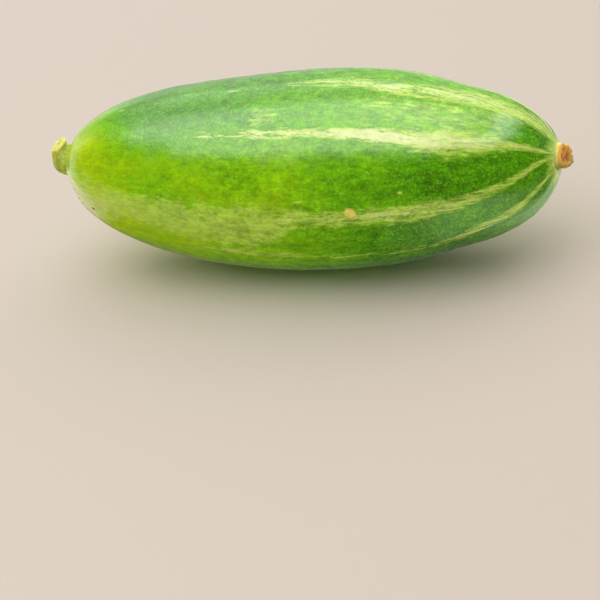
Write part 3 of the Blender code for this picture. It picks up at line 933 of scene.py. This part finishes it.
# %% Collar formula and mesh
COLLAR_NECK_RADIUS = 2.12 * MM
COLLAR_RIM_RADIUS = 2.2 * MM
COLLAR_NECK = 0.4 * MM
COLLAR_LENGTH = 1.65 * MM
COLLAR_RAGGED = 0.12 * MM
COLLAR_TILT = math.radians(22)
COLLAR_TILT_TOWARDS = unit(-0.68, 0.73)  # Y and Z
COLLAR_SUNK = 0.8 * MM
COLLAR_ROWS, COLLAR_COLUMNS = 110, 160
COLLAR_GIRTH_MM = 2.1
COLLAR_PROFILE = np.array([  # (radius, height) in metres from the foot inside the skin to the hollow
    (2.5 * MM, -COLLAR_SUNK), (2.5 * MM, 0.0), (2.3 * MM, 0.25 * MM), (COLLAR_NECK_RADIUS, 0.5 * MM),
    (0.98 * COLLAR_RIM_RADIUS, 0.9 * MM), (COLLAR_RIM_RADIUS, 1.2 * MM), (0.96 * COLLAR_RIM_RADIUS, 1.5 * MM),
    (0.86 * COLLAR_RIM_RADIUS, 1.63 * MM), (0.74 * COLLAR_RIM_RADIUS, 1.6 * MM),
    (0.62 * COLLAR_RIM_RADIUS, 1.25 * MM), (0.45 * COLLAR_RIM_RADIUS, 1.1 * MM),
    (0.25 * COLLAR_RIM_RADIUS, 1.05 * MM), (0.06 * COLLAR_RIM_RADIUS, 1.1 * MM),
])
HOLLOW_WALL = (7, 10)  # the hollow's wall runs between these corners of the profile


def collar_points(radius, height, turn):
    """The turned profile with waves that grow with the height squared, bent to one side by COLLAR_TILT."""
    grows = np.clip(height / COLLAR_LENGTH, 0, 1) ** 2
    waves = np.cos(5 * turn + 0.4) + 0.6 * np.cos(8 * turn + 2.0) + 0.4 * np.cos(11 * turn + 4.1)
    flat = np.stack([radius * np.cos(turn), radius * np.sin(turn), height + 0 * turn], axis=-1)
    crumbs = ripples(flat, 0.9 * MM, 31) * 0.06 * MM + ripples(flat, 0.4 * MM, 32, 30) * 0.03 * MM
    outward = 1 + 0.04 * grows * waves + crumbs * grows / COLLAR_RIM_RADIUS
    raised = height + (COLLAR_RAGGED * 0.5 * waves + crumbs) * grows * radius / COLLAR_RIM_RADIUS
    side, rise = -radius * np.sin(turn) * outward, radius * np.cos(turn) * outward
    past_neck = np.clip(raised - COLLAR_NECK, 0, None)
    tilt = COLLAR_TILT * np.clip(past_neck / (COLLAR_LENGTH - COLLAR_NECK), 0, 1)
    side_share, rise_share = COLLAR_TILT_TOWARDS
    towards = side * side_share + rise * rise_share
    along = np.minimum(raised, COLLAR_NECK) + past_neck * np.cos(tilt / 2) - towards * np.sin(tilt)
    shift = past_neck * np.sin(tilt / 2) + towards * (np.cos(tilt) - 1)
    return np.stack([along, side + shift * side_share, rise + shift * rise_share], axis=-1)


walk = np.concatenate([[0.0], np.cumsum(np.linalg.norm(np.diff(COLLAR_PROFILE, axis=0), axis=1))])
places = np.linspace(0, walk[-1], COLLAR_ROWS)
radius, height = (np.interp(places, walk, COLLAR_PROFILE[:, i])[:, None] for i in range(2))
smooth = np.array([1, 2, 3, 2, 1]) / 9
radius[2:-2, 0] = np.convolve(radius[:, 0], smooth, "valid")
height[2:-2, 0] = np.convolve(height[:, 0], smooth, "valid")
turn = np.linspace(0, 2 * np.pi, COLLAR_COLUMNS, endpoint=False)[None, :]
collar_rows = collar_points(radius, height, turn)
pole = fruit_pole(1)
foot = np.array([-COLLAR_SUNK, 0.0, 0.0])
bottom = collar_rows[-1].mean(axis=0)
flower_base = closed_tube("flower_base_dressed", collar_rows + pole, foot + pole, bottom + pole)
inside = np.interp(places, walk[list(HOLLOW_WALL)], (0, 1))[:, None] + 0 * turn
store(flower_base, "up_collar", np.clip(height / COLLAR_LENGTH, 0, 1) + 0 * turn, 0.0, 1.0)
store(flower_base, "inside", inside, 0.0, 1.0)
around_mm = (COLLAR_GIRTH_MM * np.sin(turn) + 0 * radius, COLLAR_GIRTH_MM * np.cos(turn) + 0 * radius)
collar_place = np.stack([places[:, None] / MM + 0 * turn, *around_mm], axis=-1)
store(flower_base, "fibre_place", collar_place, (0, 0, 0), (places[-1] / MM, 0, 0))
print("flower base:", len(flower_base.data.vertices), "points")

# %% [markdown]
# ## The collar's finish
#
# The neck is still greenish yellow where it grows from the skin, with a pale ring painted on it as a highlight,
# and the collar's lower side is painted a darker olive as shade. The outside is golden orange cork with pale
# fibres, pits painted darker as shade and a paler ragged rim, and the hollow is a mottled red brown. Two stored
# values, how far up the collar and how far inside, lead from one colour to the next.

# %% Make the collar's material
COLLAR_COLOURS = (  # how far up the collar, and colour
    # The pale stop at 0.2 is a painted highlight round the neck.
    (0.0, (196, 212, 80)), (0.2, (250, 250, 150)), (0.45, (255, 238, 96)),
    (0.7, (255, 194, 60)), (1.0, (255, 204, 96)),
)
COLLAR_LOWER_SHADE, COLLAR_FIBRE, COLLAR_PIT_SHADE = linear(140, 126, 28), linear(250, 226, 140), linear(220, 140, 44)
HOLLOW_DARK, HOLLOW_LIGHT = linear(190, 104, 36), linear(255, 184, 92)


def collar_paint(tree):
    up = attribute(tree, "up_collar")
    inner = attribute(tree, "inside")
    spot_mm = place_in_mm(tree)
    fibres, cork = patches_and_cork(attribute(tree, "fibre_place", "Vector"), spot_mm, 0.4, 1.0, 0.3, 0.3, 0.4)
    cloud = noise(spot_mm, 1.1, 3.0)
    colour = colour_ramp(add(up, swing(cloud, 0.5)), COLLAR_COLOURS)
    # Painted shade: the collar turns a darker olive towards its bottom.
    colour = blend(soft_step(axes_of(spot_mm)["Z"], 18.0, 20.6, 0.8, 0.0), colour, COLLAR_LOWER_SHADE)
    colour = blend(multiply(fibres["Mask"], 0.35), colour, COLLAR_FIBRE)
    # Painted shade: the cork is darker in its pits.
    colour = blend(multiply(cork["Pits"], 0.5), colour, COLLAR_PIT_SHADE)
    hollow = blend(soft_step(cloud, 0.42, 0.62), HOLLOW_DARK, HOLLOW_LIGHT)
    colour = blend(soft_step(inner, 0.35, 0.95), colour, hollow)
    relief = add(multiply(fibres["Chance"], 0.05), multiply(cork["Height"], 0.10))
    return colour, 0.7, 0.2, relief


dress(flower_base.data, "corky_collar", collar_paint)

# %% [markdown]
# ## Attach the pieces to the body
#
# Each dressed piece stands for one solid and rides on the part's only body.

# %% Ride and replace
for piece, node, material_slot in (
    (fruit_skin, "fruit", "fruit_skin"),
    (stem_stub, "stem_stub", "stem_stub"),
    (flower_base, "flower_base", "flower_base"),
):
    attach(piece, "root")
    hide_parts(node)
